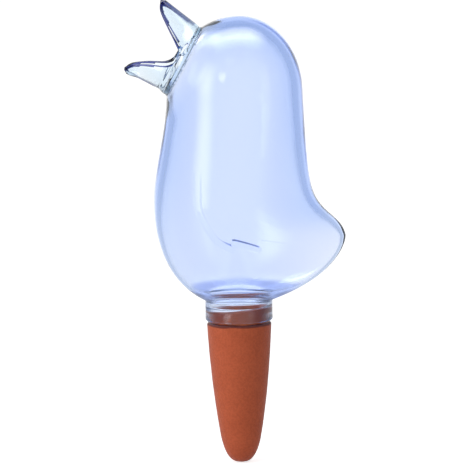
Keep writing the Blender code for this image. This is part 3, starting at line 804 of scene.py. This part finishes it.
# painted shade: a navy base colour for the beak's rims, upper ridge and tips
painted_shade_rim = clear_material("painted_shade_rim", *CLEAR, base=(0.12, 0.13, 0.34, 1.0))
silicone = clear_material("clear_silicone", *SOFT, ior=1.41)
adhesive = clear_material("clear_adhesive", *SET, ior=1.5)

# %% [markdown]
# ## The seat of the beak
#
# The beak stands on a flat cut across the face, which also opens the head. The head's wall is thin there: the
# cavity's points near the beak's axis are pushed outwards. Bisecting the mesh by a plane makes the cut at
# once, and filling between the two new edges closes the wall again.

# %% Beak frame and seat
BEAK_WALL = 1.3 * MM
BASE_HEIGHT = 1.3 * MM
BASE_BORE = 12.8 * MM
SEAT_WALL = 1.8 * MM
SEAT_BLEND = (30.0, 50.0)  # degrees from the beak's axis over which the wall grows to its full thickness
BOND_OVERLAP = 0.05 * MM  # the bonded faces reach into each other, or a mirror of air would show between them
ROUND_STEPS = 160
WELD = 0.01 * MM


def welded_mesh(form, name):
    bmesh.ops.remove_doubles(form, verts=form.verts, dist=WELD)
    bmesh.ops.recalc_face_normals(form, faces=form.faces)
    return mesh_of(form, name)


def turned(name, profile):
    """A closed mesh from a profile of (radius, height), run down its outer side and turned round +Z."""
    form = bmesh.new()
    verts = [form.verts.new((radius, 0, z)) for radius, z in profile]
    edges = [form.edges.new(pair) for pair in zip(verts, verts[1:])]
    if profile[0][0] > 0:
        edges.append(form.edges.new((verts[-1], verts[0])))
    around = {"cent": (0, 0, 0), "axis": (0, 0, 1), "angle": 2 * math.pi}
    bmesh.ops.spin(form, geom=verts + edges, steps=ROUND_STEPS, use_merge=True, **around)
    return welded_mesh(form, name)


def modify(obj, name, kind, **settings):
    made = obj.modifiers.new(name, kind)
    for key, value in settings.items():
        setattr(made, key, value)


def apply_all(obj):
    """Turns an object with modifiers and a place of its own into a plain mesh at the origin."""
    bpy.context.view_layer.update()
    depsgraph = bpy.context.evaluated_depsgraph_get()
    mesh = bpy.data.meshes.new_from_object(obj.evaluated_get(depsgraph))
    mesh.transform(obj.matrix_world)
    obj.modifiers.clear()
    obj.data = mesh
    obj.matrix_world = Matrix.Identity(4)
    return obj


from_centre = points - np.array(head_middle)
from_centre /= np.linalg.norm(from_centre, axis=1, keepdims=True)
off_axis = np.degrees(np.arccos(np.clip(from_centre @ np.array(beak_axis), -1.0, 1.0)))
thinning = eased(off_axis, *SEAT_BLEND, FRONT_WALL[-1] - SEAT_WALL, 0.0)
thinning[outer] = 0.0
points += from_centre * thinning[:, None]
shell_mesh.vertices.foreach_set("co", points.ravel())
shell_mesh.update()

form = bmesh.new()
form.from_mesh(shell_mesh)
everything = list(form.verts) + list(form.edges) + list(form.faces)
plane = {"plane_co": seat_centre, "plane_no": outwards}
cut = bmesh.ops.bisect_plane(form, geom=everything, dist=WELD, clear_outer=True, **plane)
seam = [item for item in cut["geom_cut"] if isinstance(item, bmesh.types.BMEdge)]
bmesh.ops.triangle_fill(form, use_beauty=True, use_dissolve=False, edges=seam, normal=outwards)
form.to_mesh(shell_mesh)
form.free()
reservoir = link("bird_reservoir", shell_mesh)
print("reservoir after the cut: %d faces" % len(shell_mesh.polygons))

# %% [markdown]
# ## The open beak
#
# Each mandible is a trough that rises from the round base and narrows to a tip. A few stations say where its
# rim and its ridge lie, and rows of points arch between them. That gives the inside surface, and Solidify
# makes the moulded wall outwards from it. A small bevel softens the rims, as on any moulding. The rims, the
# upper ridge and the tips look like navy lines, so their faces get painted shade: a navy base colour that
# stands for the dark room which clear plastic shows along its edges.

# %% Beak stations
SHARP_ANGLE = math.radians(50.0)
# Rim height, rim distance, ridge distance and half width, in mm from the middle of the seat
UPPER_TIP = (18.4 * MM, 19.0 * MM)
UPPER_STATIONS = (
    (3.3, 2.4, 1.9, 14.6),
    (5.9, 6.5, 5.0, 10.4),
    (8.8, 10.9, 9.4, 7.8),
    (13.4, 17.0, 16.0, 4.6),
    (16.9, 19.2, 18.5, 2.4),
)
LOWER_TIP = (-14.8 * MM, 19.3 * MM)
LOWER_STATIONS = (
    (3.3, 2.4, 1.9, 14.6),
    (-1.1, 2.9, 2.7, 13.0),
    (-4.0, 5.6, 5.0, 10.2),
    (-7.1, 12.5, 11.5, 7.2),
    (-10.0, 17.2, 16.4, 5.0),
    (-12.8, 19.2, 18.7, 2.6),
)
UPPER_SIDES = 40
LOWER_SIDES = 50
RIM_LINE = 1.0 * MM  # width of the darker line along each rim
RIDGE_LINE = 2.0 * MM  # and of the one along the upper ridge, to each side
UPPER_BASE_ROWS = 5
LOWER_BASE_ROWS = 11


def mandible(form, stations, tip, direction, sides):
    """Adds a mandible's inside surface. Direction is 1 for the upper and -1 for the lower one."""
    base_radius = BEAK_BASE_RADIUS - BEAK_WALL
    corner = math.asin(stations[0][0] * MM / base_radius)
    sweep = direction * math.pi - 2 * corner
    turns = [corner + sweep * i / sides for i in range(sides + 1)]
    circle = [(base_radius * math.sin(t), base_radius * math.cos(t)) for t in turns]
    grid = [[Vector((*spot, z)) for spot in circle] for z in (BASE_HEIGHT / 2, BASE_HEIGHT)]
    inner_tip = Vector(tip) * (1 - BEAK_WALL / math.hypot(*tip))
    foot = Vector((direction * base_radius, 0.0))
    for rim_x, rim_z, ridge_z, half in smooth_path(stations, CURVE_STEPS) * MM:
        ridge = foot + (inner_tip - foot) * (ridge_z / inner_tip.y)
        row = []
        for i in range(sides + 1):
            arch = math.pi * i / sides
            lift = math.sin(arch)
            x = rim_x + (ridge.x - rim_x) * lift
            z = rim_z + (ridge.y - rim_z) * lift
            row.append(Vector((x, (half - BEAK_WALL) * math.cos(arch), z)))
        grid.append(row)
    rows = [[form.verts.new(point) for point in row] for row in grid]
    last = form.verts.new((inner_tip.x, 0.0, inner_tip.y))
    base_rows = UPPER_BASE_ROWS if direction > 0 else LOWER_BASE_ROWS
    for j, (lower, upper) in enumerate(zip(rows, rows[1:])):
        for i in range(sides):
            face = form.faces.new((lower[i], lower[i + 1], upper[i + 1], upper[i]))
            from_rims = min((upper[i + 1].co - upper[0].co).length, (upper[i].co - upper[-1].co).length)
            on_ridge = direction > 0 and max(abs(upper[i].co.y), abs(upper[i + 1].co.y)) < RIDGE_LINE
            # Faces along the rims and the upper ridge, and at the tip, take the navy material of painted
            # shade.
            face.material_index = int(j > base_rows and (from_rims < RIM_LINE or on_ridge))
    for i in range(sides):
        form.faces.new((rows[-1][i], rows[-1][i + 1], last)).material_index = 1


form = bmesh.new()
mandible(form, UPPER_STATIONS, UPPER_TIP, 1, UPPER_SIDES)
mandible(form, LOWER_STATIONS, LOWER_TIP, -1, LOWER_SIDES)
horn_mesh = welded_mesh(form, "open_beak")
print("beak's inside surface: %d faces" % len(horn_mesh.polygons))

# %% [markdown]
# Solidify reads the thickness from a vertex group, so that the wall can be thinner along the lower keel. The
# round base is turned on its own and joined on with a union.

# %% Wall and rims of the beak
RIM_ROUND = 0.5 * MM
BASE_ROUND = 0.25 * MM
KEEL_WALL = 0.45  # share of the wall's thickness along the lower mandible's keel
KEEL_BELOW = (1.0 * MM, 9.0 * MM)  # distances over which the keel begins or ends
KEEL_ACROSS = (2.0 * MM, 8.0 * MM)
KEEL_TIP = (13.0 * MM, 17.5 * MM)
KEEL_BASE = (BASE_HEIGHT, 4.0 * MM)


def keel_share(spot):
    share = eased(-spot.x, *KEEL_BELOW, 0.0, 1.0) * eased(abs(spot.y), *KEEL_ACROSS, 1.0, 0.0)
    return float(share * (eased(spot.z, *KEEL_TIP, 1.0, 0.0) * eased(spot.z, *KEEL_BASE, 0.0, 1.0)))


for material in (clear_plastic, painted_shade_rim):
    horn_mesh.materials.append(material)
beak = link("open_beak", horn_mesh)
beak.matrix_world = beak_frame
thickness = beak.vertex_groups.new(name="thickness")
for vertex in horn_mesh.vertices:
    thickness.add([vertex.index], 1 - (1 - KEEL_WALL) * keel_share(vertex.co), "REPLACE")
modify(beak, "wall", "SOLIDIFY", thickness=BEAK_WALL, offset=1.0, vertex_group="thickness")
edges = {"limit_method": "ANGLE", "angle_limit": SHARP_ANGLE}
modify(beak, "rims", "BEVEL", width=RIM_ROUND, segments=3, **edges)
apply_all(beak)

base_profile = [
    (BASE_BORE, BASE_HEIGHT),
    (BEAK_BASE_RADIUS - BASE_ROUND, BASE_HEIGHT),
    (BEAK_BASE_RADIUS, BASE_HEIGHT - BASE_ROUND),
    (BEAK_BASE_RADIUS, -BOND_OVERLAP),
    (BASE_BORE, -BOND_OVERLAP),
]
base = link("beak_base", turned("beak_base", base_profile))
base.matrix_world = beak_frame
modify(beak, "base", "BOOLEAN", operation="UNION", object=base, solver="EXACT")
apply_all(beak)
bpy.data.objects.remove(base)
print("beak: %d faces" % len(beak.data.polygons))

# %% [markdown]
# ## The adhesive
#
# A thin line of set adhesive runs round the joint between beak and head. It was squeezed out by hand, so its
# thickness wanders, and it shows as dark dashes. That is a shape that follows a path, so Geometry Nodes make
# it: a circle, a radius from seeded noise, and a round section swept along it.


# %% Bead tree
BEAD_NOISE = 260.0  # waves per metre
BEAD_MEAN = 0.7
BEAD_LEAST = 0.3


def bead_tree():
    tree = bpy.data.node_groups.new("adhesive_bead", "GeometryNodeTree")
    face = tree.interface
    face.new_socket("Geometry", in_out="INPUT", socket_type="NodeSocketGeometry")
    for name in ("Ring radius", "Thickness", "Unevenness", "Seed"):
        face.new_socket(name, in_out="INPUT", socket_type="NodeSocketFloat")
    face.new_socket("Material", in_out="INPUT", socket_type="NodeSocketMaterial")
    face.new_socket("Geometry", in_out="OUTPUT", socket_type="NodeSocketGeometry")
    given = add_node(tree, "NodeGroupInput").outputs
    circle = "GeometryNodeCurvePrimitiveCircle"
    ring = add_node(tree, circle, {"Resolution": 240, "Radius": given["Ring radius"]})
    place = add_node(tree, "GeometryNodeInputPosition").outputs[0]
    waves = {"Vector": place, "W": given["Seed"], "Scale": BEAD_NOISE, "Detail": 2.0}
    wander = add_node(tree, "ShaderNodeTexNoise", waves, noise_dimensions="4D").outputs[0]
    swing = maths(tree, "MULTIPLY", maths(tree, "SUBTRACT", wander, 0.5), given["Unevenness"])
    scale = maths(tree, "MAXIMUM", maths(tree, "ADD", swing, BEAD_MEAN), BEAD_LEAST)
    curve = add_node(tree, "GeometryNodeSetCurveRadius", {"Curve": ring.outputs[0], "Radius": scale})
    outline = add_node(tree, circle, {"Resolution": 10, "Radius": given["Thickness"]})
    along = {"Curve": curve.outputs[0], "Profile Curve": outline.outputs[0]}
    swept = add_node(tree, "GeometryNodeCurveToMesh", along)
    real = add_node(tree, "GeometryNodeRealizeInstances", {0: swept.outputs[0]})
    dressed = add_node(tree, "GeometryNodeSetMaterial", {0: real.outputs[0], "Material": given["Material"]})
    smooth = add_node(tree, "GeometryNodeSetShadeSmooth", {0: dressed.outputs[0]})
    tree.links.new(smooth.outputs[0], add_node(tree, "NodeGroupOutput").inputs[0])
    return tree


def set_inputs(modifier, values):
    for item in modifier.node_group.interface.items_tree:
        if item.in_out == "INPUT" and item.name in values:
            modifier[item.identifier] = values[item.name]


print("bead tree ready")

# %% [markdown]
# ## Dressing the plastic pieces
#
# Each finished piece rides on a body of the frame, replaces a CAD solid and names its material slot.

# %% Dress the plastic pieces
def finish_piece(obj, material, body, node):
    if not obj.data.materials:
        obj.data.materials.append(material)
    obj.data.shade_smooth()
    obj.data.set_sharp_from_angle(angle=SHARP_ANGLE)
    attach(obj, body)
    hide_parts(node)
    print("%s: %d faces, on %s" % (obj.name, len(obj.data.polygons), body))


finish_piece(reservoir, blue_plastic, "reservoir", "reservoir_shell")
finish_piece(beak, clear_plastic, "reservoir", "beak_spout")

BEAD_RADIUS = 0.2 * MM
bead_reach = BEAK_BASE_RADIUS + BEAD_RADIUS / 2
bead = link("adhesive_bead", bpy.data.meshes.new("adhesive_bead"))
nodes = bead.modifiers.new("bead", "NODES")
nodes.node_group = bead_tree()
bead_sizes = {"Ring radius": bead_reach, "Thickness": BEAD_RADIUS, "Unevenness": 2.2, "Seed": 4.0}
set_inputs(nodes, {**bead_sizes, "Material": adhesive})
bead.matrix_world = beak_frame @ Matrix.Translation((0, 0, BEAD_RADIUS))
apply_all(bead)
finish_piece(bead, adhesive, "reservoir", "beak_bond_bead")

# %% [markdown]
# ## The sleeve
#
# A thin soft sleeve seals the clay in the neck. It wets the clay, so no air shows between them, and the
# brown looks as wide as the sleeve. Its top follows the collar's slanted edge and stands a little proud.


# %% Sleeve
COLLAR_RADIUS = 11.9 * MM
COLLAR_BORE = 9.0 * MM
COLLAR_HEIGHT = 5.9 * MM
COLLAR_SLANT = math.radians(5.0)
SLEEVE_OUTER = 12.85 * MM
SLEEVE_INNER = 11.7 * MM
SLEEVE_PROUD = 0.6 * MM
SLEEVE_FOOT = 0.3 * MM
SLEEVE_ROUND = 0.15 * MM


def slant(mesh, height):
    """Shears the top of a turned collar, so that it is higher on the tail's side."""
    for vertex in mesh.vertices:
        share = min(max(vertex.co.z / height, 0.0), 1.0)
        vertex.co.z += vertex.co.x * math.tan(COLLAR_SLANT) * share


sleeve_top = COLLAR_HEIGHT + SLEEVE_PROUD
sleeve_profile = [
    (SLEEVE_INNER, sleeve_top - SLEEVE_ROUND),
    (SLEEVE_INNER + SLEEVE_ROUND, sleeve_top),
    (SLEEVE_OUTER - SLEEVE_ROUND, sleeve_top),
    (SLEEVE_OUTER, sleeve_top - SLEEVE_ROUND),
    (SLEEVE_OUTER, sleeve_top / 2),
    (SLEEVE_OUTER, SLEEVE_FOOT),
    (SLEEVE_INNER, SLEEVE_FOOT),
    (SLEEVE_INNER, sleeve_top / 2),
]
sleeve_mesh = turned("neck_sleeve", sleeve_profile)
slant(sleeve_mesh, sleeve_top)
finish_piece(link("neck_sleeve", sleeve_mesh), silicone, "seal", "neck_seal")

# %% [markdown]
# ## The clay cone
#
# The cone was turned by machine and fired, so it is round but not perfect: it has faint turning rings, soft
# dents and grit. The larger unevenness is in the mesh, from seeded noise on its points, and only the grain
# that is finer than a pixel is left to the material's bump. The turning rings are left out.

# %% Clay cone
SPIKE_LENGTH = -spike_low.z
SPIKE_RADIUS = 13.2 * MM
SPIKE_SWELL = 0.6 * MM
SPIKE_NOSE = 15.0 * MM
SPIKE_NOSE_RADIUS = 9.0 * MM
SPIKE_BLUNT = 3.2
SPIKE_WALL = 2.8 * MM
SHOULDER_ROUND = 0.9 * MM
COLLAR_ROUND = 0.35 * MM
NOSE_TOP = SPIKE_NOSE - SPIKE_LENGTH
CONE_ROWS = 70
NOSE_ROWS = 28
HOLLOW_ROWS = 24
DENT = 0.07 * MM
DENT_SIZE = 7.0 * MM
FINE_DENT = 0.4  # depth of the finer dents, as a share of the large ones
FINE_DENT_RATE = 3.1


def spike_radius(z, wall=0.0):
    """A cone that swells a little and rounds off over its nose."""
    depth = z / NOSE_TOP
    cone = SPIKE_RADIUS + (SPIKE_NOSE_RADIUS - SPIKE_RADIUS) * depth - wall
    cone += SPIKE_SWELL * 4 * depth * (1 - depth)
    share = min(max((NOSE_TOP - z) / (SPIKE_NOSE - wall), 0.0), 1.0)
    return cone * (1 - share**SPIKE_BLUNT) ** (1 / SPIKE_BLUNT)


def rounded_edge(radius, z, size, start, end, steps=4):
    """Points of an edge's rounding about a centre, between two angles in degrees."""
    turns = [math.radians(start + (end - start) * i / steps) for i in range(steps + 1)]
    return [(radius + size * math.cos(turn), z + size * math.sin(turn)) for turn in turns]


def nose_heights(length, steps):
    return [NOSE_TOP - length * math.sin(math.pi / 2 * i / steps) for i in range(1, steps + 1)]


collar_edge = COLLAR_HEIGHT - COLLAR_ROUND
outer_side = rounded_edge(COLLAR_BORE + COLLAR_ROUND, collar_edge, COLLAR_ROUND, 180, 90)
outer_side += rounded_edge(COLLAR_RADIUS - COLLAR_ROUND, collar_edge, COLLAR_ROUND, 90, 0)
outer_side += [(COLLAR_RADIUS, collar_edge * share) for share in (0.8, 0.6, 0.4, 0.2, 0.05)]
outer_side += [(COLLAR_RADIUS + 0.2 * MM, 0.0)]
outer_side += rounded_edge(SPIKE_RADIUS - SHOULDER_ROUND, -SHOULDER_ROUND, SHOULDER_ROUND, 80, 0)[:-1]
cone = [-SHOULDER_ROUND + (NOSE_TOP + SHOULDER_ROUND) * i / CONE_ROWS for i in range(CONE_ROWS + 1)]
outer_side += [(spike_radius(z), z) for z in cone + nose_heights(SPIKE_NOSE, NOSE_ROWS)]
nose = nose_heights(SPIKE_NOSE - SPIKE_WALL, HOLLOW_ROWS)[::-1]
inner_side = [(spike_radius(z, SPIKE_WALL), z) for z in nose]
hollow = [NOSE_TOP * i / HOLLOW_ROWS for i in range(HOLLOW_ROWS, 0, -1)]
inner_side += [(min(spike_radius(z, SPIKE_WALL), COLLAR_BORE), z) for z in hollow]
clay_mesh = turned("clay_spike", inner_side + outer_side)
slant(clay_mesh, COLLAR_HEIGHT)
normals = [vertex.normal.copy() for vertex in clay_mesh.vertices]
for vertex, normal in zip(clay_mesh.vertices, normals):
    spot = vertex.co / DENT_SIZE
    wobble = noise.noise(spot) + FINE_DENT * noise.noise(spot * FINE_DENT_RATE)
    vertex.co += normal * wobble * DENT
clay_mesh.update()
print("cone: %d faces" % len(clay_mesh.polygons))

# %% [markdown]
# Fired clay varies slowly from place to place and has darker grit. The collar is seen through the bluish
# neck, where plain clay would look grey, so it has a stronger orange than real clay, and its brightness is
# painted light, for the light that the neck and sleeve hold back. The ragged dark line at the shoulder is
# painted shade, of the gap under the neck's rim.

# %% Clay material
DARK_CLAY = (0.47, 0.090, 0.032, 1.0)
PALE_CLAY = (0.62, 0.135, 0.055, 1.0)
GRIT_CLAY = (0.36, 0.065, 0.025, 1.0)
# painted light: the collar is brighter than the clay, for the light that the neck and sleeve hold back
LIT_COLLAR_CLAY = (0.76, 0.14, 0.010, 1.0)
# painted shade: the colour of the dark ring in the gap between the neck's rim and the shoulder
SHOULDER_SHADE_CLAY = (0.09, 0.022, 0.018, 1.0)
CLOUDS_PER_METRE = 90.0
GRIT_STRENGTH = 0.3
LIT_COLLAR_FROM = (-0.3 * MM, 0.3 * MM)
LIT_COLLAR_STRENGTH = 0.8
SHOULDER_SHADE_FROM = (-1.0 * MM, -0.45 * MM)
SHOULDER_SHADE_TO = (0.35 * MM, 0.7 * MM)
SHOULDER_SHADE_STRENGTH = 0.8
SHOULDER_SHADE_RAGGED = 1.6 * MM

clay, tree, shader = new_material("fired_clay")
position = add_node(tree, "ShaderNodeTexCoord").outputs["Object"]
grains = {"Position": position, "Grain size": 0.9 * MM, "Share": 0.42}
grit = add_node(tree, "ShaderNodeGroup", grains, node_tree=grain).outputs
cloud = clouds(tree, position, CLOUDS_PER_METRE, 4.0)
warm = mixed_colour(tree, cloud, DARK_CLAY, PALE_CLAY)
gritty = mixed_colour(tree, maths(tree, "MULTIPLY", grit["Mask"], GRIT_STRENGTH), warm, GRIT_CLAY)
height = add_node(tree, "ShaderNodeSeparateXYZ", {0: position}).outputs["Z"]
# Painted light on the collar inside the neck, and a stronger orange against the bluish tint.
lit_collar = maths(tree, "MULTIPLY", ramp(tree, height, *LIT_COLLAR_FROM), LIT_COLLAR_STRENGTH)
colour = mixed_colour(tree, lit_collar, gritty, LIT_COLLAR_CLAY)
# Painted shade: a ragged dark ring at the shoulder, under the neck's rim.
ragged = maths(tree, "MULTIPLY", maths(tree, "SUBTRACT", cloud, 0.5), SHOULDER_SHADE_RAGGED)
height = maths(tree, "ADD", height, ragged)
begins = ramp(tree, height, *SHOULDER_SHADE_FROM, 0.0, SHOULDER_SHADE_STRENGTH)
shoulder_shade = maths(tree, "MULTIPLY", begins, ramp(tree, height, *SHOULDER_SHADE_TO, 1.0, 0.0))
bump = add_node(tree, "ShaderNodeBump", {"Height": grit["Height"], "Distance": 0.25 * MM})
looks = {
    "Base Color": mixed_colour(tree, shoulder_shade, colour, SHOULDER_SHADE_CLAY),
    "Roughness": 0.78,
    "Specular IOR Level": 0.25,
    "Sheen Weight": 0.3,
    "Sheen Roughness": 0.4,
    "Normal": bump.outputs["Normal"],
}
fill(tree, shader, looks)
finish_piece(link("clay_spike", clay_mesh), clay, "spike", "terracotta_spike")
